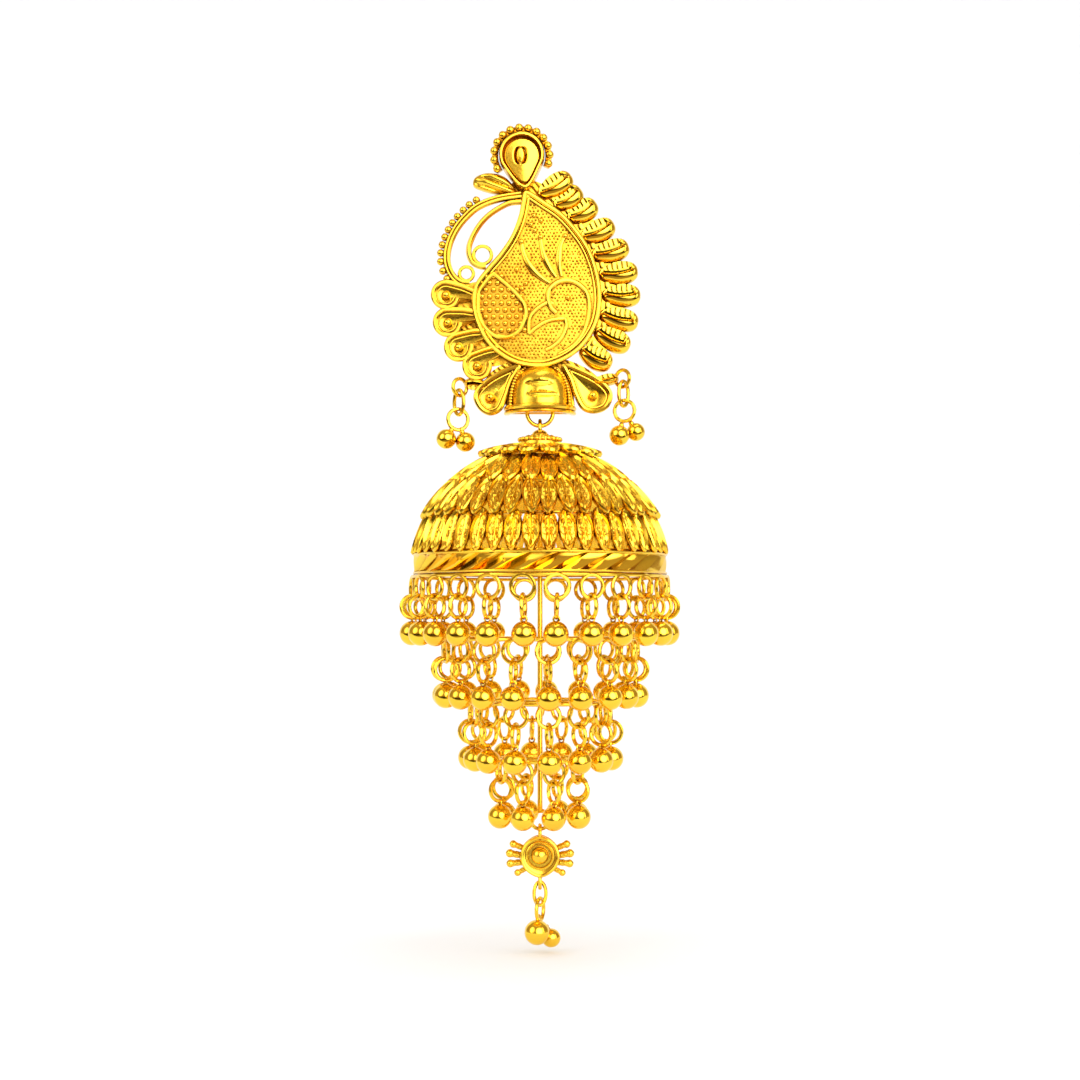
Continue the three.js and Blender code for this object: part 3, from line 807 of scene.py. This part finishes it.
domeLow, domeHigh = corners("dome")
axis = (domeLow + domeHigh) / 2
dome = {"radius": 13.0, "centreZ": -32.4, "bandTop": -30.95, "bandBottom": float(domeLow[2])}
leafRows = [
    {"name": "leafRow1", "count": 15, "top": 0.15, "bottom": 0.5, "width": 1.12, "point": 0.4, "twist": 0.1,
     "slope": 0.6},
    {"name": "leafRow2", "count": 28, "top": 0.42, "bottom": 0.84, "width": 1.12, "point": 0.45, "twist": 0.1,
     "slope": 0.25, "sink": 0.17},
    {"name": "leafRow3", "count": 40, "top": 0.78, "bottom": 1.17, "width": 1.06, "point": 0.7, "twist": 0.2,
     "slope": 0.55},
    {"name": "leafRow4", "count": 44, "top": 1.1, "bottom": 1.46, "width": 1.0, "point": 0.8, "twist": 0.05,
     "slope": 0.35},
]


def leafTemplate(point):
    # unit leaf: across -0.5..0.5, down -0.5..0.5, rise in mm
    a = np.linspace(0, tau, 36, endpoint=False)
    x = 0.5 * np.sin(a) * np.abs(np.sin(a)) ** (0.35 * point)
    y = 0.5 * np.cos(a)
    outline = np.column_stack([x, y])
    rows = np.r_[np.linspace(0.06, 0.72, 8), 0.79, 0.85, 0.91, 0.96, 1.0]

    def height(q, x, z):
        rim = 0.3 * bump(q, 0.91, 0.07)
        rib = 0.2 * bump(x, 0, 0.05) * (1 - step(q, 0.72, 0.86))
        veins = 0.07 * np.sin(z * 52 + np.abs(x) * 60) * (1 - step(q, 0.65, 0.82)) * step(np.abs(x), 0.03, 0.1)
        return 0.3 + rim + rib + veins - 0.1 * (1 - q)

    return relief(outline, (0.0, 0.0), rows, height)


def leafRow(row):
    unit = leafTemplate(row["point"])
    across, rise, down = unit[0][:, 0], -unit[0][:, 1], -unit[0][:, 2]
    parts = []
    for i in range(row["count"]):
        middle = (i + 0.5) * tau / row["count"]
        theta = (row["top"] + row["bottom"]) / 2 + down * (row["bottom"] - row["top"])
        lean = row["twist"] * (1 if i % 2 else -1)
        widest = tau / row["count"] * row["width"]
        phi = middle + across * widest * 1.02 + lean * down * widest
        radius = dome["radius"] - 0.62 - row.get("sink", 0) + rise + row["slope"] * (down + 0.5) + 0.12 * (i % 2)
        points = np.column_stack([
            radius * np.sin(theta) * np.sin(phi), -radius * np.sin(theta) * np.cos(phi), radius * np.cos(theta)])
        parts.append(shape(points, unit[1], unit[2]))
    return moved(joined(parts), None, (axis[0], axis[1], dome["centreZ"]))


def hoop(z, radius, wire, sides=8, steps=120):
    a = np.arange(steps) * tau / steps
    path = np.column_stack([axis[0] + radius * np.cos(a), axis[1] + radius * np.sin(a), np.full(steps, z)])
    return tube(path, wire / 2, sides, True, up=(0, 0, 1))


def domeHoops():
    parts = []
    for theta, wire in ((0.3, 0.3), (0.48, 0.34), (0.82, 0.34), (1.13, 0.34), (1.44, 0.36)):
        r = dome["radius"] - 0.6
        parts.append(hoop(dome["centreZ"] + r * math.cos(theta), r * math.sin(theta), wire))
    return joined(parts)


band = {"facets": 29, "depth": 0.55, "slant": -1.3, "wall": 0.7}


def cutBand():
    # each facet is two slanted planes; the columns of the mesh run along their edges
    stops = [0.0, 0.2, 0.4, 0.6, 0.62, 0.64, 0.82, 0.98]
    rows = 12
    t = np.linspace(0, 1, rows)
    i, j, k = np.meshgrid(np.arange(band["facets"]), np.arange(len(stops)), np.arange(rows), indexing="ij")
    phase = np.array(stops)[j]
    angle = (i + phase + band["slant"] * (t[k] - 0.5)) * tau / band["facets"]
    cut = np.where(phase <= 0.62, phase / 0.62, (1 - phase) / 0.38)
    edge = np.sin(np.clip(t[k], 0, 1) * math.pi) ** 0.4
    r = dome["radius"] - band["depth"] * (1 - cut) * edge
    z = dome["bandTop"] + (dome["bandBottom"] - dome["bandTop"]) * t[k]
    outer = np.stack([r * np.cos(angle), r * np.sin(angle), z], axis=-1).reshape(-1, 3)
    steps = band["facets"] * len(stops)
    ends = outer.reshape(steps, rows, 3)[:, [-1, 0]].copy()
    ends[..., :2] *= (dome["radius"] - band["wall"]) / np.hypot(ends[..., 0], ends[..., 1])[..., None]
    i, j = np.meshgrid(np.arange(steps), np.arange(rows - 1), indexing="ij")
    i, j = i.ravel(), j.ravel()
    k = (i + 1) % steps
    quads = [np.column_stack([i * rows + j, k * rows + j, k * rows + j + 1, i * rows + j + 1])]
    base = steps * rows
    i = np.arange(steps)
    k = (i + 1) % steps
    quads.append(np.column_stack([i * rows + rows - 1, k * rows + rows - 1, base + k * 2, base + i * 2]))
    quads.append(np.column_stack([base + i * 2, base + k * 2, base + k * 2 + 1, base + i * 2 + 1]))
    quads.append(np.column_stack([base + i * 2 + 1, base + k * 2 + 1, k * rows, i * rows]))
    return moved(shape(np.vstack([outer, ends.reshape(-1, 3)]), np.vstack(quads)), None, (axis[0], axis[1], 0))


def bandRims():
    r = dome["radius"]
    return joined([hoop(dome["bandTop"], r - 0.02, 0.26), hoop(dome["bandBottom"] + 0.1, r - 0.02, 0.24)])


def finial():
    z = float(domeHigh[2])
    eyeZ = z - 0.2 - 0.8
    cap = [(0.01, -17.98), (0.4, -18.05), (0.7, -18.25), (0.9, -18.55), (0.95, -18.8)]
    disc = [(1.95, -18.8), (2.05, -18.9), (2.05, -19.2), (2.2, -19.3), (2.24, -19.45), (2.24, -19.7), (0.01, -19.9)]
    parts = [moved(lathe(np.vstack([cap, disc]), 64), None, (axis[0], axis[1], 0))]
    parts.append(ring((axis[0], axis[1], eyeZ), 0.8, 0.4, 90, 1, 12, 40))
    for count, r, level, size in ((22, 2.08, -19.05, 0.24), (14, 1.3, -18.8, 0.22)):
        for i in range(count):
            a = tau * i / count
            parts.append(ball((axis[0] + r * math.cos(a), axis[1] + r * math.sin(a), level), size, 8, 12))
    return joined(parts)


print("dome")
for row in leafRows:
    piece(row["name"], leafRow(row), "worked", "jhumka", ["dome"])
piece("domeHoops", domeHoops(), "worked", "jhumka", ["dome"])
piece("cutBand", cutBand(), "cut", "jhumka", ["dome"], sharp=18)
piece("bandRims", bandRims(), "wire", "jhumka", ["dome"])
piece("finial", finial(), "worked", "jhumka", ["dome"])


# ---- tiers of bead drops

drop = {"ring": 1.15, "wire": 0.42, "bead": 1.25, "secondRing": -1.92, "beadAt": -4.62}
tiers = [
    {"node": "bead_tier_1", "count": 24, "radius": 13.1, "first": 7.5},
    {"node": "bead_tier_2", "count": 19, "radius": 10.0, "first": 4.5},
    {"node": "bead_tier_3", "count": 14, "radius": 7.2, "first": 6.6},
    {"node": "bead_tier_4", "count": 8, "radius": 4.2, "first": 20},
]


def wireDrop():
    top = -drop["ring"]
    return joined([
        ring((0, 0, top), drop["ring"], drop["wire"], 0, 1, 10, 30),
        ring((0, 0, top + drop["secondRing"]), drop["ring"] - 0.02, drop["wire"], 90, 1, 10, 30),
        ring((0, 0, top + drop["beadAt"] + drop["bead"] + 0.2), 0.3, 0.18, 0, 1, 8, 16),
    ])


def beadOnly():
    a = np.linspace(math.pi / 2, -math.pi / 2, 21)
    r = drop["bead"] * np.cos(a)
    z = drop["bead"] * np.sin(a)
    return moved(lathe(np.column_stack([r, z]), 28), None, (0, 0, -drop["ring"] + drop["beadAt"]))


def aroundHoop(part, tier, hoopZ, rng):
    parts = []
    for i in range(tier["count"]):
        sway = turnX(rng.uniform(-2, 2)) @ turnY(rng.uniform(-2, 2)) @ turnZ(rng.uniform(-9, 9))
        one = moved(part, sway, (0, -tier["radius"], hoopZ))
        parts.append(moved(one, turnZ(tier["first"] + 360 * i / tier["count"])))
    return moved(joined(parts), None, (axis[0], axis[1], 0))


print("bead tiers")
for n, tier in enumerate(tiers, 1):
    low, high = corners(tier["node"])
    hoopZ = float(high[2]) - 0.2
    wires = [aroundHoop(wireDrop(), tier, hoopZ, np.random.default_rng(n))]
    wires.append(hoop(hoopZ, tier["radius"], 0.36))
    piece("tierRings%d" % n, joined(wires), "wire", "jhumka", [tier["node"]])
    piece("tierBeads%d" % n, aroundHoop(beadOnly(), tier, hoopZ, np.random.default_rng(n)), "bead", "jhumka",
          [tier["node"]])


# ---- stem and spokes inside

def stemFrame():
    low, high = corners("tier_frame")
    x, y = axis[0], axis[1]
    parts = [tube([(x, y, high[2]), (x, y, -57.5)], 0.26, 16, up=(1, 0, 0))]
    for tier in tiers[1:]:
        z = float(corners(tier["node"])[1][2]) - 0.2
        for i in range(4):
            a = tau * (i + 0.5) / 4
            reach = tier["radius"] - 0.1
            parts.append(tube([(x, y, z), (x + reach * math.cos(a), y + reach * math.sin(a), z)], 0.16, 10, up=(0, 0, 1)))
    parts.append(ring((x, y, float(low[2]) + 0.95 + 0.2), 0.95, 0.4))
    return joined(parts)


piece("stemFrame", stemFrame(), "wire", "jhumka", ["tier_frame"])


# ---- pendant

def pendantBoss():
    x, y, z = axis[0], axis[1], -61.95
    lozenge = smoothPath([(0, 2.1), (1.5, 1.3), (1.98, 0), (1.5, -1.3), (0, -2.1), (-1.5, -1.3), (-1.98, 0), (-1.5, 1.3)],
                         8, True)
    parts = []
    for face in (0, 180):
        body = relief(lozenge, (0, 0), np.linspace(0.1, 1, 12), lambda q, u, v: 0.5 + 0.12 * step(q, 0.7, 0.9), -0.02)
        bits = [body, tube(front(shifted(lozenge, 0.12), 0.6), 0.17, 8, True),
                ring((0, -0.62, 0.1), 1.35, 0.3, 0, 1, 10, 40), ball((0, -0.62, 0.15), 0.9, 14, 24)]
        parts += [moved(b, turnZ(face)) for b in bits]
    prongs = [((1.5, 0.75), (2.75, 1.25), 0.3), ((1.7, 0.05), (3.1, 0.3), 0.34), ((1.6, -0.6), (3.05, -0.75), 0.32),
              ((1.3, -1.2), (2.3, -1.7), 0.26)]
    for side in (-1, 1):
        for root, tip, size in prongs:
            path = evenPath(np.array([root, tip]), 7)
            path[:, 0] *= side
            parts.append(tube(front(path, 0), size * (1 + 0.12 * np.array([0, 1, 0, 1, 0, 1, 0])), 10))
            parts.append(ball((path[-1][0], 0, path[-1][1]), size + 0.1, 10, 14))
            for share in (2, 4):
                for face in (-1, 1):
                    parts.append(ball((path[share][0], face * size * 0.8, path[share][1]), 0.17, 6, 8))
    parts.append(ring((0, 0, 2.45), 0.75, 0.4, 90))
    parts.append(ring((0, 0, -2.6), 0.7, 0.4, 90))
    return moved(joined(parts), None, (x, y, z))


print("pendant")
piece("pendantBoss", pendantBoss(), "worked", "jhumka", ["pendant"])
piece("pendantLink", ring((axis[0], axis[1], -65.8), 0.62, 0.38, 10, 1.94), "wire", "jhumka", ["pendant_link"])
lastBalls = [((axis[0] - 0.3, axis[1] - 0.4, -69.75), 1.3), ((axis[0] + 1.15, axis[1] + 0.75, -70.5), 0.98)]
piece("pendantBeads", beadPair("pendant", (axis[0], axis[1], -67.45), 1.18, 72, lastBalls), "bead", "jhumka",
      ["pendant_beads"])


# ---- floor, backdrop, light and camera

studio = {
    "view": 112.3 * mm,
    "away": 200 * mm,
    "eyeLevel": -37.6 * mm,
    "middle": -29.3 * mm,
    "floorGap": 0.5 * mm,
    "paperFront": 62 * mm,
    "paperLight": 1.16,
    "room": [(0.0, 0.5), (0.28, 0.4), (0.36, 0.03), (0.46, 0.05), (0.53, 0.55), (0.62, 0.38), (0.8, 0.45), (1.0, 0.6)],
    "roomWarmth": (1.0, 0.76, 0.5),
    "glows": [
        {"from": (0.4, -0.86, 0.32), "edge": 0.79, "core": 0.98, "strength": 4.8},
        {"from": (-0.75, -0.6, 0.45), "edge": 0.86, "core": 0.985, "strength": 1.6},
    ],
}


def sheet(name, rows, width=1.4):
    # rows of (y, z) make a paper sheet across the set
    points = [(x, y, z) for y, z in rows for x in (-width, width)]
    quads = [(2 * i, 2 * i + 1, 2 * i + 3, 2 * i + 2) for i in range(len(rows) - 1)]
    mesh = bpy.data.meshes.new(name)
    mesh.from_pydata(points, [], quads)
    mesh.shade_smooth()
    obj = bpy.data.objects.new(name, mesh)
    bpy.context.scene.collection.objects.link(obj)
    mesh.materials.append(finishes["paper"])
    return obj


def sweep():
    floorZ = cadBox[0][2] - studio["floorGap"]
    m = bpy.data.materials.new("paleFloor")
    m.use_nodes = True
    m.node_tree.nodes["Principled BSDF"].inputs["Base Color"].default_value = (0.9, 0.9, 0.9, 1)
    m.node_tree.nodes["Principled BSDF"].inputs["Roughness"].default_value = 0.9
    finishes["paper"] = m
    rows = [(-studio["paperFront"], floorZ)]
    for a in np.linspace(0, math.pi / 2, 25):
        rows.append((0.6 + 0.35 * math.sin(a), floorZ + 0.35 * (1 - math.cos(a))))
    rows.append((0.95, floorZ + 1.4))
    sheet("paperSweep", rows)
    near = sheet("paperNear", [(-1.2, floorZ), (-studio["paperFront"], floorZ)])
    near.visible_glossy = False  # the gold mirrors the dark room here


def softbox(name, at, aim, size, brightness):
    # brightness is what a mirror facing the softbox shows
    data = bpy.data.lights.new(name, "AREA")
    data.shape = "RECTANGLE"
    data.size, data.size_y = size
    data.energy = brightness * math.pi * size[0] * size[1]
    lamp = bpy.data.objects.new(name, data)
    bpy.context.scene.collection.objects.link(lamp)
    lamp.location = at
    lamp.rotation_euler = (Vector(aim) - Vector(at)).to_track_quat("-Z", "Y").to_euler()


def studioLight():
    # plain white for the paper; the gold mirrors a darker room with one wide glow in front of it
    world = bpy.data.worlds.new("studioWorld")
    bpy.context.scene.world = world
    world.use_nodes = True
    nodes, link = world.node_tree.nodes, world.node_tree.links.new
    place = nodes.new("ShaderNodeTexCoord")
    level = nodes.new("ShaderNodeSeparateXYZ")
    link(place.outputs["Generated"], level.inputs[0])
    room = nodes.new("ShaderNodeValToRGB")
    room.color_ramp.elements.remove(room.color_ramp.elements[1])
    for k, (at, grey) in enumerate(studio["room"]):
        stop = room.color_ramp.elements[0] if k == 0 else room.color_ramp.elements.new(at)
        stop.position = at
        stop.color = (*(grey * np.array(studio["roomWarmth"])), 1)
    height = nodes.new("ShaderNodeMapRange")
    height.inputs["From Min"].default_value = -1
    link(level.outputs["Z"], height.inputs["Value"])
    link(height.outputs["Result"], room.inputs["Fac"])
    total = room.outputs["Color"]
    for glow in studio["glows"]:
        aim = Vector(glow["from"]).normalized()
        dot = nodes.new("ShaderNodeVectorMath")
        dot.operation = "DOT_PRODUCT"
        dot.inputs[1].default_value = aim
        link(place.outputs["Generated"], dot.inputs[0])
        edge = nodes.new("ShaderNodeMapRange")
        edge.interpolation_type = "SMOOTHERSTEP"
        edge.inputs["From Min"].default_value = glow["edge"]
        edge.inputs["From Max"].default_value = glow["core"]
        edge.inputs["To Max"].default_value = glow["strength"]
        link(dot.outputs["Value"], edge.inputs["Value"])
        add = nodes.new("ShaderNodeVectorMath")
        add.operation = "ADD"
        link(total, add.inputs[0])
        link(edge.outputs["Result"], add.inputs[1])
        total = add.outputs["Vector"]
    mirrored = nodes.new("ShaderNodeBackground")
    link(total, mirrored.inputs["Color"])
    plain = nodes["Background"]
    plain.inputs["Color"].default_value = (1, 1, 1, 1)
    plain.inputs["Strength"].default_value = studio["paperLight"]
    rays = nodes.new("ShaderNodeLightPath")
    pick = nodes.new("ShaderNodeMixShader")
    link(rays.outputs["Is Glossy Ray"], pick.inputs["Fac"])
    link(plain.outputs[0], pick.inputs[1])
    link(mirrored.outputs[0], pick.inputs[2])
    link(pick.outputs[0], nodes["World Output"].inputs["Surface"])
    aim = (0, 0, -0.03)
    softbox("keyLeft", (-0.4, -0.28, 0.2), aim, (0.1, 0.4), 2.0)
    softbox("fillRight", (0.42, -0.18, 0.12), aim, (0.08, 0.4), 2.0)
    softbox("topLight", (0.05, -0.05, 0.45), aim, (0.3, 0.12), 2.0)


def photoCamera():
    data = bpy.data.cameras.new("camera")
    data.sensor_width = 36
    data.lens = 36 * studio["away"] / studio["view"]
    data.shift_y = (studio["middle"] - studio["eyeLevel"]) / studio["view"]
    data.clip_start = 0.01
    camera = bpy.data.objects.new("camera", data)
    bpy.context.scene.collection.objects.link(camera)
    camera.location = (0, -studio["away"], studio["eyeLevel"])
    camera.rotation_euler = (math.pi / 2, 0, 0)
    bpy.context.scene.camera = camera


print("studio")
sweep()
studioLight()
photoCamera()
bpy.context.scene.view_settings.view_transform = "Standard"
